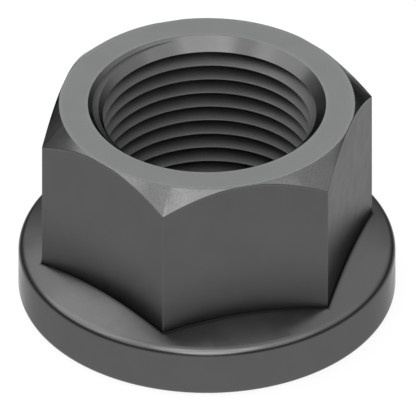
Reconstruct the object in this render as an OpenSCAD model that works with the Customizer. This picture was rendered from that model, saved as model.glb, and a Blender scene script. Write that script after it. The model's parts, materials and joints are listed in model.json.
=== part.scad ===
// Hexagon nut forged in one piece with a round sloping flange that bears on the clamped part.
// The origin is the centre of the flange's bearing face, and +Z runs along the thread.

/* [Thread] */
// Nominal diameter of the screw thread
thread_d = 20; // [16:1:21]
// Distance from one thread turn to the next
thread_pitch = 1.5; // [1:0.25:2.5]
// How much wider than the thread's basic inside diameter the hole is drilled
drill_allowance = 0.22; // [0:0.02:0.3]

/* [Countersinks] */
// How much wider than the thread the hole opens at each end face
mouth_allowance = 1.5; // [1:0.1:2.5]
// Angle between the two sides of the countersink
mouth_angle = 90; // [60:5:130]

/* [Hexagon] */
// Distance between two opposite spanner flats
across_flats = 26.7; // [26:0.1:29]
// Height of the whole nut
nut_height = 20.4; // [16:0.1:28]
// Fall of the crown's bevel below the top face's plane
crown_angle = 45; // [20:1:50]

/* [Flange] */
// Diameter of the flange over its upright rim
flange_d = 34; // [33:0.1:44]
// Height at which the rim would meet the sloping top without its round
rim_height = 4.9; // [3.5:0.1:8]
// Slope of the flange's top, falling outward
slope_angle = 21.5; // [10:0.5:30]
// Radius of the round between the rim and the sloping top
rim_round = 0.9; // [0.3:0.1:1.4]
// Radius of the round between the rim and the bearing face
base_round = 0.9; // [0.3:0.1:1.4]

/* [Hidden] */
// Circles are drawn with this many sides
$fn = 96;
// Cutting tools run this far past the faces that they cut
run_out = 1;

// A metric thread's basic inside diameter lies five eighths of its full height below the outside one
full_thread_h = thread_pitch * sqrt(3) / 2;
bore_r = (thread_d + drill_allowance) / 2 - full_thread_h * 5 / 8;
mouth_r = (thread_d + mouth_allowance) / 2;
// Run of the countersink along the axis for each unit of its radius
mouth_rate = 1 / tan(mouth_angle / 2);
mouth_depth = (mouth_r - bore_r) * mouth_rate;

across_corners = across_flats / cos(30);
// The bevel starts on the circle that touches all six flats
crown_r = across_flats / 2;

flange_r = flange_d / 2;
base_round_r = flange_r - base_round;
rim_round_r = flange_r - rim_round;
// Centre of the rim's round, which touches the upright rim and the sloping top
rim_round_z = rim_height + rim_round * tan(slope_angle) - rim_round / cos(slope_angle);
// The slope ends inside the hexagon, halfway between its flats and the bore
slope_end_r = (crown_r + bore_r) / 2;
slope_rise = (rim_round_r - slope_end_r) * tan(slope_angle);
slope_length = (rim_round_r - slope_end_r) / cos(slope_angle);

// Half section of the flange, whose sloping top is a slab that runs off the rim's round
module flange_section() {
    polygon([
        [0, 0],
        [base_round_r, 0],
        [flange_r, base_round],
        [flange_r, rim_round_z],
        [rim_round_r, rim_round_z],
        [slope_end_r, rim_round_z + slope_rise],
        [0, rim_round_z + slope_rise]
    ]);
    translate([base_round_r, base_round])
        circle(r = base_round);
    translate([rim_round_r, rim_round_z])
        rotate(-slope_angle) {
            circle(r = rim_round);
            translate([-slope_length, -rim_round])
                square([slope_length, 2 * rim_round]);
        }
}

// Half section that the crown's bevel leaves of the hexagon
module crown_section() {
    outer_r = across_corners / 2 + run_out;
    polygon([
        [0, 0],
        [outer_r, 0],
        [outer_r, nut_height - (outer_r - crown_r) * tan(crown_angle)],
        [crown_r, nut_height],
        [0, nut_height]
    ]);
}

// Half section of the tapping bore with a countersink at each end
module bore_section() {
    open_r = mouth_r + run_out / mouth_rate;
    polygon([
        [0, -run_out],
        [open_r, -run_out],
        [bore_r, mouth_depth],
        [bore_r, nut_height - mouth_depth],
        [open_r, nut_height + run_out],
        [0, nut_height + run_out]
    ]);
}

module hexagon() {
    intersection() {
        cylinder(d = across_corners, h = nut_height, $fn = 6);
        rotate_extrude()
            crown_section();
    }
}

module flange_nut() {
    color("#595b5b")
    difference() {
        union() {
            hexagon();
            rotate_extrude()
                flange_section();
        }
        rotate_extrude()
            bore_section();
    }
}

flange_nut();
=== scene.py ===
import json
import math

import bmesh
import bpy
import numpy as np
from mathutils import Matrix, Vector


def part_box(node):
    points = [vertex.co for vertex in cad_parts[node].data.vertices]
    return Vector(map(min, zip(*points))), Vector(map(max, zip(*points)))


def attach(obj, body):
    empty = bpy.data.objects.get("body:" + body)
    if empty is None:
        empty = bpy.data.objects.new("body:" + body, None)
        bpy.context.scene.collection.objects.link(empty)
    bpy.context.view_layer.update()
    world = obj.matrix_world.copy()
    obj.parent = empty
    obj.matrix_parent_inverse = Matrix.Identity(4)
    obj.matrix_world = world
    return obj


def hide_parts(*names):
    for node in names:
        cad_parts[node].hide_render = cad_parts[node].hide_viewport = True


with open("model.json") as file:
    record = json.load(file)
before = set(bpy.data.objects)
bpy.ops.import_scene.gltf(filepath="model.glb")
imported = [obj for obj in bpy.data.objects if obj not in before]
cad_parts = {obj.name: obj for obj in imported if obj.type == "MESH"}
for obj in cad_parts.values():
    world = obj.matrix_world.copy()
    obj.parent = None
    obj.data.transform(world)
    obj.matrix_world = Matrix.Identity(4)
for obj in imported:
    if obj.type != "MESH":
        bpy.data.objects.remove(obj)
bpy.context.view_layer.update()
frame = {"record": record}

# The nut's outside. A bar of medium-carbon steel is forged hot into a hexagon with a round flange,
# then its top, crown, flange and bearing face are turned on a lathe, so those are bodies of
# revolution and only the six spanner flats are not. Every edge has the small round of its work.
MM = 0.001
SIXTH = 2 * math.pi / 6
mounts = {mount["name"]: mount for mount in frame["record"]["mounts"]}
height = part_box("flange_nut")[1][2]
flange_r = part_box("flange_nut")[1][0]
flat_distance = mounts["spanner_flat_back"]["pos_m"][1]
bore_r = mounts["thread"]["dims"]["r_mm"] * MM
bore_length = mounts["thread"]["dims"]["length_mm"] * MM

# The countersinks have sides at right angles, so each is as deep as it is wide. Just inside the
# round on its edge, at the lip, the outside meets the bore's wall.
mouth_depth = (height - bore_length) / 2
mouth_r = bore_r + mouth_depth
mouth_edge = 0.08 * MM
mouth_ball_r = mouth_r + mouth_edge * math.tan(math.radians(22.5))
lip = 0.05 * MM

crown_slope = math.radians(45)
crown_edge = 0.1 * MM
corner_round = 0.12 * MM
corner_centre = (flat_distance - corner_round) / math.cos(SIXTH / 2)

# The flange's top slopes outward and runs tangent into the rim's round.
slope = math.radians(21.5)
joint_round = 0.12 * MM
rim_height = 4.9 * MM
rim_round = 0.9 * MM
base_round = 0.9 * MM
rim_round_z = rim_height + rim_round * math.tan(slope) - rim_round / math.cos(slope)
slope_start_r = flange_r - rim_round * (1 - math.sin(slope))
slope_start_z = rim_round_z + rim_round * math.cos(slope)

EVEN_COLUMNS = 240
CORNER_COLUMNS = 7


def from_corner(angle):
    """Angle from the hexagon's nearest corner, the first of which lies on +X. Half a sixth of a
    turn is added to the angle, whole sixths are dropped and the half is taken off again."""
    return (angle + SIXTH / 2) % SIXTH - SIXTH / 2


def column_angles():
    """Angles of the mesh's columns. They are evenly spaced, but in place of one on a hexagon's
    corner there are seven along its small round, and one more at three times the angle of each
    end of it."""
    even = np.arange(EVEN_COLUMNS) * 2 * math.pi / EVEN_COLUMNS
    even = even[np.abs(from_corner(even)) > 1e-6]
    turn = np.linspace(-SIXTH / 2, SIXTH / 2, CORNER_COLUMNS)
    across = np.arctan2(corner_round * np.sin(turn), corner_centre + corner_round * np.cos(turn))
    near = np.concatenate([[across[0] * 3], across, [across[-1] * 3]])
    rounds = (np.arange(6)[:, None] * SIXTH + near[None, :]).ravel() % (2 * math.pi)
    return np.sort(np.concatenate([even, rounds]))


def hexagon_radius(angle):
    """Distance from the axis to the hexagon at each angle. On a flat it is the flat's distance
    over the cosine of the angle from the flat's middle. On a corner's round it is the far
    crossing of the ray with the round's circle."""
    off_corner = from_corner(angle)
    flat = flat_distance / np.cos(np.abs(off_corner) - SIXTH / 2)
    across = corner_centre * np.sin(off_corner)
    along = corner_centre * np.cos(off_corner)
    circle = along + np.sqrt(np.maximum(corner_round**2 - across**2, 0))
    span = math.atan2(corner_round / 2, corner_centre + corner_round * math.cos(SIXTH / 2))
    return np.where(np.abs(off_corner) < span, circle, flat)


# The first column comes once more at the end, one full turn on, and closes the grid.
columns = column_angles()
angle = np.append(columns, columns[0] + 2 * math.pi)
side_r = hexagon_radius(angle)


def rows_of(*parts):
    """Rows of (radius, height, wear, turned, tapped), each part one number, one for each row or one
    for each column, repeated to fill the grid. Wear is 1 where handling thins the black oxide,
    turned is 1 on lathe work and tapped is 1 in the thread, so it is 0 here."""
    parts = [np.atleast_2d(part) for part in parts]
    count = max(part.shape[0] for part in parts)
    parts.append(np.zeros((1, 1)))
    return np.stack([np.broadcast_to(part, (count, len(angle))) for part in parts], axis=1)


def arc(centre_r, centre_z, radius, start, end, steps, wear=0.0):
    """Rows along a circle in the section, between two angles in degrees that are counted up from
    the outward direction: the centre plus the radius times the angle's cosine and sine."""
    turn = np.radians(np.linspace(start, end, steps + 1))[:, None]
    return rows_of(centre_r + radius * np.cos(turn), centre_z + radius * np.sin(turn), wear, 1.0)


def slope_z(radius):
    """Height of the flange's sloping top: the height where the rim's round starts, plus the way
    inward from there times the tangent of the slope."""
    return slope_start_z + (slope_start_r - radius) * math.tan(slope)


# A ball as large as the edge's round rolls inside the crown's bevel. Near the middle of a flat the
# bevel is narrower than the ball, and there one round joins the top face to the flat.
ball_r = np.minimum(flat_distance - crown_edge * math.tan(crown_slope / 2), side_r - crown_edge)
past = side_r - crown_edge - flat_distance
ball_z = height - (crown_edge + past * math.sin(crown_slope)) / math.cos(crown_slope)
ball_z = np.minimum(ball_z, height - crown_edge)

# The fillet between flat and flange, and the clear stretches of flat and slope beside it. Their
# rows lie at these shares of the stretch and are closest beside the fillet.
joint_r = side_r + joint_round
joint_z = slope_z(joint_r) + joint_round / math.cos(slope)
flat_shares = [0.98, 0.6, 0.45, 0.36, 0.28, 0.22, 0.16, 0.11, 0.07, 0.04, 0.02, 0.008]
flat_z = joint_z + (ball_z - joint_z) * np.array(flat_shares)[:, None]
slope_shares = [0.02, 0.08, 0.16, 0.27, 0.4, 0.6]
slope_r = joint_r + (slope_start_r - joint_r) * np.array(slope_shares)[:, None]

# Handling thins the oxide on the turned edges, and less on the hexagon's corners, in a line about
# a quarter of a millimetre wide.
edge_wear = 0.4
most_corner_wear, corner_line = 0.15, 0.008
corner_wear = np.where(np.abs(from_corner(angle)) < corner_line, most_corner_wear, 0.0)

# A row this far inside each edge of a flat face keeps the face's shading flat.
inner_margin = 0.3 * MM
outer_margin = 0.4 * MM
EDGE_STEPS = 4
FILLET_STEPS = 6
RIM_STEPS = 14
crown_up = 90 - math.degrees(crown_slope)
slope_up = 90 - math.degrees(slope)

outside = np.concatenate(
    [
        rows_of(mouth_r - lip, height - lip, edge_wear, 1.0),
        arc(mouth_ball_r, height - mouth_edge, mouth_edge, 135, 90, EDGE_STEPS, edge_wear),
        rows_of(mouth_ball_r + inner_margin, height, 0.0, 1.0),
        rows_of(flat_distance - outer_margin, height, 0.0, 1.0),
        arc(ball_r, height - crown_edge, crown_edge, 90, crown_up, EDGE_STEPS, edge_wear),
        arc(side_r - crown_edge, ball_z, crown_edge, crown_up, 0, EDGE_STEPS, edge_wear),
        rows_of(side_r, flat_z, corner_wear, 0.0),
        arc(joint_r, joint_z, joint_round, 180, 180 + slope_up, FILLET_STEPS),
        rows_of(slope_r, slope_z(slope_r), 0.0, 1.0),
        arc(flange_r - rim_round, rim_round_z, rim_round, slope_up, 0, RIM_STEPS),
        arc(flange_r - base_round, base_round, base_round, 0, -90, RIM_STEPS),
        rows_of(mouth_ball_r + inner_margin, 0.0, 0.0, 1.0),
        arc(mouth_ball_r, mouth_edge, mouth_edge, -90, -135, EDGE_STEPS, edge_wear),
        rows_of(mouth_r - lip, lip, edge_wear, 1.0),
    ]
)

# Painted shade in the corner between flats and flange, where shade falls. It is nearly black in the
# fillet itself, fades slowly up the flats and leaves only a trace on the slope.
NEAR = 0.01 * MM
fillet_shade, fillet_reach = 0.96, 0.2 * MM
flat_shade, flat_reach = 0.45, 4.0 * MM
slope_shade, slope_reach = 0.06, 1.0 * MM
from_joint = np.hypot(outside[:, 0] - side_r, outside[:, 1] - slope_z(side_r))
beside_flat = np.abs(outside[:, 0] - side_r) < 0.1 * joint_round
on_flat = beside_flat & (outside[:, 1] > joint_z - NEAR)
on_slope = (outside[:, 0] > side_r) & (outside[:, 1] < joint_z)
shade = np.where(on_flat, flat_shade * np.exp(-((from_joint / flat_reach) ** 2)), 0.0)
shade = np.where(on_slope, slope_shade * np.exp(-from_joint / slope_reach), shade)
hollow = np.maximum(shade, fillet_shade * np.exp(-((from_joint / fillet_reach) ** 2)))
outside = np.concatenate([outside, hollow[:, None]], axis=1)


# The screw thread, cut by a tap after the turning: a V of 60 degrees that winds to the left, with
# ridges that are nearly sharp. It runs straight out through both countersinks.
pitch = 1.5 * MM
ridge_round = 0.04 * MM
root_round = 0.035 * MM
# The grooves are as deep as a full V of one pitch, less the rounds on ridge and root.
root_r = bore_r + pitch * math.sqrt(3) / 2 - ridge_round - root_round
# Middle of the uppermost ridge where it passes the back, at 135 degrees from +X
ridge_angle = math.radians(135)
ridge_z = height - 0.9 * MM


def thread_turn():
    """One turn's section as (radius, height) from the middle of one ridge to just before the next:
    half a ridge's round, a flank, the root's round, a flank and the other half."""
    ridge = np.radians(np.linspace(180, 120, 3))
    root = np.radians(np.linspace(120, 240, 5))
    back = np.radians(np.linspace(240, 180, 3))[:-1]
    radius = np.concatenate(
        [
            bore_r + ridge_round * (1 + np.cos(ridge)),
            root_r - root_round * (1 + np.cos(root)),
            bore_r + ridge_round * (1 + np.cos(back)),
        ]
    )
    level = np.concatenate(
        [
            ridge_round * np.sin(ridge),
            pitch / 2 - root_round * np.sin(root),
            pitch + ridge_round * np.sin(back),
        ]
    )
    return radius, level


def cone_r(z):
    """Radius of the nearer countersink at each height, which is as much less than its mouth's as
    the height lies inside the nut."""
    return mouth_r - np.minimum(z, height - z)


def thread_wall():
    """The bore's wall as rows of (radius, height, wear, turned, tapped, painted shade). A row
    follows the helix and falls by one pitch over a full turn counted from +X toward +Y, which is
    what makes the thread left-hand. The radius is the larger of the thread's and the countersink's.
    Between two rows lies one more, which sits where the thread meets the countersink if that is
    between them, and on the first of the two if not."""
    turn_r, turn_z = thread_turn()
    start = ridge_z + pitch * ridge_angle / (2 * math.pi)
    # Enough turns to reach past both lips at every angle
    first = math.floor((lip - start) / pitch) - 1
    last = math.ceil((height - lip + pitch - start) / pitch) + 1
    turns = np.arange(first, last + 1)
    row_r = np.tile(turn_r, len(turns))
    row_z = (start + turns[:, None] * pitch + turn_z[None, :]).ravel()
    z = np.clip(row_z[:, None] - pitch * angle[None, :] / (2 * math.pi), lip, height - lip)
    thread = np.broadcast_to(row_r[:, None], z.shape)
    over = thread - cone_r(z)
    crosses = over[:-1] * over[1:] < 0
    share = np.where(crosses, over[:-1] / np.where(crosses, over[:-1] - over[1:], 1), 0)
    between_z = z[:-1] + share * (z[1:] - z[:-1])
    wall = np.maximum(thread, cone_r(z))
    rows = np.empty((2 * len(z) - 1, 2, len(angle)))
    rows[0::2, 0], rows[0::2, 1] = wall, z
    rows[1::2, 0], rows[1::2, 1] = np.where(crosses, cone_r(between_z), wall[:-1]), between_z

    # The countersinks are turned and the ridges' edges are worn a little by the stud. Painted shade
    # lies faintly over the thread and grows deep in the roots of the grooves.
    ridge_wear = 0.3
    ridge_shade, groove_shade = 0.06, 0.36
    turned = np.where(rows[:, 0] < cone_r(rows[:, 1]) + NEAR, 1.0, 0.0)
    depth = np.clip((rows[:, 0] - bore_r) / (root_r - bore_r), 0, 1)
    wear = np.where(turned > 0, 0.0, ridge_wear * (1 - depth) ** 6)
    thread_shade = np.where(turned > 0, 0.0, ridge_shade + groove_shade * depth**2)
    return np.stack([rows[:, 0], rows[:, 1], wear, turned, 1 - turned, thread_shade], axis=1)


# Outside and thread are one piece of steel, so they become one closed mesh. It rides the nut's
# only body and shows in place of the CAD's solid.
# The last mark is painted shade, darkest in the corner by the flange and in the roots of the
# thread.
MARKS = ("wear", "turned", "tapped", "hollow")
MERGE_DISTANCE = 1e-7
NO_LENGTH = 1e-8
SHARP_ANGLE = math.radians(13)


def grid(rows):
    """Vertices, faces and marks of a grid, whose rows hold radius, height and the four marks at
    each column's angle. A vertex stands at the radius times the angle's cosine and sine."""
    points = np.stack([rows[:, 0] * np.cos(angle), rows[:, 0] * np.sin(angle), rows[:, 1]], axis=-1)
    marks = {mark: rows[:, 2 + place].ravel() for place, mark in enumerate(MARKS)}
    index = np.arange(rows.shape[0] * rows.shape[2]).reshape(rows.shape[0], rows.shape[2])
    faces = np.stack([index[:-1, :-1], index[1:, :-1], index[1:, 1:], index[:-1, 1:]], axis=-1)
    return points.reshape(-1, 3), faces.reshape(-1, 4), marks


def closed_mesh(name, *grids):
    """Grids joined into one closed mesh. Corners in one place are merged, faces left without area
    go, and edges of more than 13 degrees stay sharp."""
    points, faces, marks = zip(*grids)
    starts = np.cumsum([0] + [len(part) for part in points[:-1]])
    faces = [part + start for part, start in zip(faces, starts)]
    mesh = bpy.data.meshes.new(name)
    mesh.from_pydata(np.concatenate(points).tolist(), [], np.concatenate(faces).tolist())
    for mark in MARKS:
        values = np.concatenate([part[mark] for part in marks])
        mesh.attributes.new(mark, "FLOAT", "POINT").data.foreach_set("value", values)
    shape = bmesh.new()
    shape.from_mesh(mesh)
    bmesh.ops.remove_doubles(shape, verts=shape.verts, dist=MERGE_DISTANCE)
    bmesh.ops.dissolve_degenerate(shape, edges=shape.edges, dist=NO_LENGTH)
    bmesh.ops.recalc_face_normals(shape, faces=shape.faces)
    shape.to_mesh(mesh)
    shape.free()
    mesh.shade_smooth()
    mesh.set_sharp_from_angle(angle=SHARP_ANGLE)
    return mesh


nut_mesh = closed_mesh("nut", grid(outside), grid(thread_wall()))
nut = bpy.data.objects.new("nut", nut_mesh)
bpy.context.scene.collection.objects.link(nut)
smoothing = nut.modifiers.new("flats stay flat beside their rounds", "WEIGHTED_NORMAL")
smoothing.keep_sharp = True
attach(nut, "root")
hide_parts("flange_nut")


def linear(code):
    """An sRGB hex colour as linear red, green, blue and alpha. A dark part is divided by 12.92, and
    any other is raised by 0.055, divided by 1.055 and taken to the power of 2.4."""
    parts = np.array([int(code[i : i + 2], 16) for i in (1, 3, 5)]) / 255
    parts = np.where(parts <= 0.04045, parts / 12.92, ((parts + 0.055) / 1.055) ** 2.4)
    return (*parts.tolist(), 1.0)


def add(tree, kind, inputs=None, **settings):
    """Adds a node with its own settings, and inputs by name or number: each a value, or the output
    of another node that is linked to it."""
    node = tree.nodes.new(kind)
    for name, value in settings.items():
        setattr(node, name, value)
    for name, value in (inputs or {}).items():
        if isinstance(value, bpy.types.NodeSocket):
            tree.links.new(value, node.inputs[name])
        else:
            node.inputs[name].default_value = value
    return node


# A Mix node's inputs go by number: its factor, two plain numbers and two colours. The mixed
# colour is output 2.
FACTOR = 0
NUMBER_A, NUMBER_B = 2, 3
COLOUR_A, COLOUR_B = 6, 7
MIXED_COLOUR = 2


def black_oxide_steel():
    """Carbon steel blackened in a bath of hot salts and then oiled. The oxide layer is a few
    micrometres thick, so the eye sees dark neutral metal with a satin sheen, a little lighter where
    handling has thinned it on the edges. Painted shade darkens it in the corner by the flange and
    in the thread's grooves."""
    material = bpy.data.materials.new("black_oxide_steel")
    material.use_nodes = True
    tree = material.node_tree
    shader = tree.nodes["Principled BSDF"]
    shader.inputs["Metallic"].default_value = 1.0
    shader.inputs["Specular Tint"].default_value = (0.64, 0.64, 0.64, 1.0)
    place = add(tree, "ShaderNodeTexCoord").outputs["Object"]
    wear, turned, tapped, hollow = [
        add(tree, "ShaderNodeAttribute", attribute_name=mark).outputs["Fac"] for mark in MARKS
    ]
    # Noise hardly leaves the middle of its range.
    noise_span = {"From Min": 0.3, "From Max": 0.7}

    # The bath colours the steel in soft clouds 4 mm across. Its fine grain is drawn 0.15 mm wide,
    # as coarse as it needs to show. The oxide is worn in the grain's pattern, and painted shade
    # takes it nearly to black in the corner by the flange and in the thread's grooves.
    cloud_size, grain_size = 4.0 * MM, MM / 6.5
    most_worn = 0.3
    clouds = add(
        tree, "ShaderNodeTexNoise", {"Vector": place, "Scale": 1 / cloud_size, "Detail": 3.0}
    )
    grain = add(
        tree, "ShaderNodeTexNoise", {"Vector": place, "Scale": 1 / grain_size, "Detail": 2.0}
    )
    oxide = add(
        tree,
        "ShaderNodeMix",
        {FACTOR: clouds.outputs["Fac"], COLOUR_A: linear("#585858"), COLOUR_B: linear("#5e5e5e")},
        data_type="RGBA",
    )
    speckle = add(
        tree,
        "ShaderNodeMapRange",
        {"Value": grain.outputs["Fac"], **noise_span, "To Min": 0.0, "To Max": most_worn},
    )
    worn = add(tree, "ShaderNodeMath", {0: wear, 1: speckle.outputs[0]}, operation="MULTIPLY")
    steel = add(
        tree,
        "ShaderNodeMix",
        {
            FACTOR: worn.outputs[0],
            COLOUR_A: oxide.outputs[MIXED_COLOUR],
            COLOUR_B: linear("#9a9896"),
        },
        data_type="RGBA",
    )
    # The last of the marks is painted shade and takes the colour nearly to black.
    colour = add(
        tree,
        "ShaderNodeMix",
        {FACTOR: hollow, COLOUR_A: steel.outputs[MIXED_COLOUR], COLOUR_B: linear("#060606")},
        data_type="RGBA",
    )
    tree.links.new(colour.outputs[MIXED_COLOUR], shader.inputs["Base Color"])

    # Oil makes the sheen uneven in patches of 1.7 mm. The turned faces are smoother than the
    # forged flats, and the tap tears the thread a little.
    patch_size = MM / 0.6
    smoothest, roughest = 0.28, 0.34
    by_turning, by_tapping = -0.1, 0.12
    sheen = add(
        tree, "ShaderNodeTexNoise", {"Vector": place, "Scale": 1 / patch_size, "Detail": 4.0}
    )
    uneven = add(
        tree,
        "ShaderNodeMapRange",
        {"Value": sheen.outputs["Fac"], **noise_span, "To Min": smoothest, "To Max": roughest},
    )
    smoother = add(
        tree,
        "ShaderNodeMath",
        {0: turned, 1: by_turning, 2: uneven.outputs[0]},
        operation="MULTIPLY_ADD",
    )
    torn = add(
        tree,
        "ShaderNodeMath",
        {0: tapped, 1: by_tapping, 2: smoother.outputs[0]},
        operation="MULTIPLY_ADD",
    )
    tree.links.new(torn.outputs[0], shader.inputs["Roughness"])

    # The lathe leaves fine rings at a feed of 0.2 mm. They are counted along the section as the
    # radius less 0.7 of the height, so that they run round top, slope, bevels and rim alike. The
    # grain's relief is deeper than theirs.
    feed = 0.2 * MM
    height_share = -0.7
    ring_depth = 0.0002 * MM
    grain_depth = 0.002 * MM
    parts = add(tree, "ShaderNodeSeparateXYZ", {0: place})
    flat_place = add(tree, "ShaderNodeCombineXYZ", {0: parts.outputs[0], 1: parts.outputs[1]})
    radius = add(tree, "ShaderNodeVectorMath", {0: flat_place.outputs[0]}, operation="LENGTH")
    along = add(
        tree,
        "ShaderNodeMath",
        {0: parts.outputs[2], 1: height_share, 2: radius.outputs["Value"]},
        operation="MULTIPLY_ADD",
    )
    phase = add(
        tree, "ShaderNodeMath", {0: along.outputs[0], 1: 2 * math.pi / feed}, operation="MULTIPLY"
    )
    rings = add(tree, "ShaderNodeMath", {0: phase.outputs[0]}, operation="SINE")
    lathe = add(tree, "ShaderNodeMath", {0: rings.outputs[0], 1: turned}, operation="MULTIPLY")
    cut = add(
        tree,
        "ShaderNodeBump",
        {"Height": lathe.outputs[0], "Strength": 1.0, "Distance": ring_depth},
    )
    rough = add(
        tree,
        "ShaderNodeBump",
        {
            "Height": grain.outputs["Fac"],
            "Strength": 1.0,
            "Distance": grain_depth,
            "Normal": cut.outputs[0],
        },
    )
    tree.links.new(rough.outputs[0], shader.inputs["Normal"])
    return material


nut_mesh.materials.append(black_oxide_steel())

# The floor is a pale sheet. It shows white and keeps the nut's soft shadow.
floor_half = 1.5
floor_mesh = bpy.data.meshes.new("floor")
corners = np.array([(-1, -1, 0), (1, -1, 0), (1, 1, 0), (-1, 1, 0)]) * floor_half
floor_mesh.from_pydata(corners.tolist(), [], [(0, 1, 2, 3)])
floor = bpy.data.objects.new("floor", floor_mesh)
bpy.context.scene.collection.objects.link(floor)


def coated_paper():
    """Matt coated white paper. The eye sees plain white, a tenth of which is the paper's own
    scattered light and so carries the nut's shadow. In the metal the sheet's glow is a painted pool
    of light: only its middle shows white, its far part is dark, and seen at a flat angle it is
    dimmer."""
    material = bpy.data.materials.new("coated_paper")
    material.use_nodes = True
    tree = material.node_tree
    tree.nodes.clear()
    white_share = 0.9
    rays = add(tree, "ShaderNodeLightPath")
    watched = add(
        tree,
        "ShaderNodeMath",
        {0: rays.outputs["Is Camera Ray"], 1: rays.outputs["Is Transmission Ray"]},
        operation="MAXIMUM",
    )
    seen = add(
        tree, "ShaderNodeMath", {0: watched.outputs[0], 1: white_share}, operation="MULTIPLY"
    )
    shown = add(
        tree,
        "ShaderNodeMath",
        {0: seen.outputs[0], 1: rays.outputs["Is Glossy Ray"]},
        operation="MAXIMUM",
    )

    # The painted pool of light fades between 55 and 100 mm from the nut's axis, from just over
    # white to nearly dark. Facing is 0 for a view straight down and 1 for one along the sheet.
    spot = add(tree, "ShaderNodeTexCoord").outputs["Object"]
    away = add(tree, "ShaderNodeVectorMath", {0: spot}, operation="LENGTH").outputs["Value"]
    pool = add(
        tree,
        "ShaderNodeMapRange",
        {"Value": away, "From Min": 55 * MM, "From Max": 100 * MM, "To Min": 1.03, "To Max": 0.15},
        interpolation_type="SMOOTHSTEP",
    )
    facing = add(tree, "ShaderNodeLayerWeight", {"Blend": 0.5}).outputs["Facing"]
    flatter = add(
        tree,
        "ShaderNodeMapRange",
        {"Value": facing, "From Min": 0.6, "From Max": 0.85, "To Min": 1.0, "To Max": 0.4},
        interpolation_type="SMOOTHSTEP",
    )
    faded = add(
        tree, "ShaderNodeMath", {0: pool.outputs[0], 1: flatter.outputs[0]}, operation="MULTIPLY"
    )
    strength = add(
        tree,
        "ShaderNodeMix",
        {FACTOR: rays.outputs["Is Glossy Ray"], NUMBER_A: 1.0, NUMBER_B: faded.outputs[0]},
        data_type="FLOAT",
    )
    paper = add(tree, "ShaderNodeBsdfDiffuse", {"Color": linear("#f2f2f2")})
    white = add(
        tree, "ShaderNodeEmission", {"Color": (1, 1, 1, 1), "Strength": strength.outputs[0]}
    )
    sheet = add(
        tree,
        "ShaderNodeMixShader",
        {0: shown.outputs[0], 1: paper.outputs[0], 2: white.outputs[0]},
    )
    add(tree, "ShaderNodeOutputMaterial", {"Surface": sheet.outputs[0]})
    return material


floor_mesh.materials.append(coated_paper())


# The studio's light is ten large round softboxes one metre away from the nut: seven round it at
# about 40 degrees up, one low in front and two high at the left. The one at the back, which the
# top face mirrors, is faintly green, as that face is in the photograph.
def softbox(name, turn, rise, width, watts, tint=(1, 1, 1)):
    """A round lamp that faces the nut. Its turn is counted round the axis from +X and its rise up
    from the floor, both in degrees."""
    lamp = bpy.data.lights.new(name, "AREA")
    lamp.shape = "DISK"
    lamp.size = width
    lamp.energy = watts
    lamp.color = tint
    turn, rise = math.radians(turn), math.radians(rise)
    out = math.cos(rise)
    stand = bpy.data.objects.new(name, lamp)
    stand.location = (math.cos(turn) * out, math.sin(turn) * out, math.sin(rise))
    stand.rotation_euler = (0, math.pi / 2 - rise, turn)
    bpy.context.scene.collection.objects.link(stand)


softbox("back", 135, 36, 0.8, 1.85, (0.96, 1.03, 1.0))
softbox("back left", 180, 46, 0.8, 0.75)
softbox("left", 225, 42, 0.9, 2.0)
softbox("front left", 270, 42, 0.9, 1.0)
softbox("front", 315, 38, 1.0, 3.9)
softbox("front low", 315, 18, 0.6, 1.2)
softbox("front right", 0, 38, 0.8, 0.95)
softbox("right", 45, 38, 0.8, 0.25)
softbox("high left back", 165, 64, 0.7, 0.65)
softbox("high left front", 285, 64, 0.7, 0.15)

# The room's own light is dim up to 3 degrees above the floor and grows to just over white at 37
# degrees. Where a low view passes over the floor's edge, the background stays white.
world = bpy.data.worlds.new("studio")
bpy.context.scene.world = world
world.use_nodes = True
world_tree = world.node_tree
background = world_tree.nodes["Background"]
direction = add(world_tree, "ShaderNodeTexCoord").outputs["Generated"]
upward = add(world_tree, "ShaderNodeSeparateXYZ", {0: direction}).outputs[2]
brightness = add(
    world_tree,
    "ShaderNodeMapRange",
    {"Value": upward, "From Min": 0.05, "From Max": 0.6, "To Min": 0.16, "To Max": 1.13},
    interpolation_type="SMOOTHSTEP",
)
camera_ray = add(world_tree, "ShaderNodeLightPath").outputs["Is Camera Ray"]
world_strength = add(
    world_tree,
    "ShaderNodeMix",
    {FACTOR: camera_ray, NUMBER_A: brightness.outputs[0], NUMBER_B: 1.0},
    data_type="FLOAT",
)
world_tree.links.new(world_strength.outputs[0], background.inputs["Strength"])
background.inputs["Color"].default_value = (1, 1, 1, 1)

bpy.context.scene.view_settings.view_transform = "Standard"

# The camera looks down at the nut along an isometric direction, square on, without perspective.
PHOTO_WIDTH = 416
PHOTO_HEIGHT = 408
PIXELS_PER_MM = 11.092
# Pixel at which the photograph shows the centre of the top face
TOP_CENTRE_X = 206.96
TOP_CENTRE_Y = 103.4
CAMERA_DISTANCE = 0.4
azimuth = math.radians(45)
elevation = math.asin(math.tan(math.radians(30)))
pixel = MM / PIXELS_PER_MM

out = math.cos(elevation)
back = np.array([math.sin(azimuth) * out, -math.cos(azimuth) * out, math.sin(elevation)])
right = np.array([math.cos(azimuth), math.sin(azimuth), 0])
up = np.cross(back, right)
middle = np.array([0, 0, height]) - (TOP_CENTRE_X - PHOTO_WIDTH / 2) * pixel * right
middle = middle - (PHOTO_HEIGHT / 2 - TOP_CENTRE_Y) * pixel * up

camera_data = bpy.data.cameras.new("camera")
camera_data.type = "ORTHO"
camera_data.ortho_scale = PHOTO_WIDTH * pixel
camera = bpy.data.objects.new("camera", camera_data)
bpy.context.scene.collection.objects.link(camera)
camera.location = middle + back * CAMERA_DISTANCE
camera.rotation_euler = (math.pi / 2 - elevation, 0, azimuth)
bpy.context.scene.camera = camera
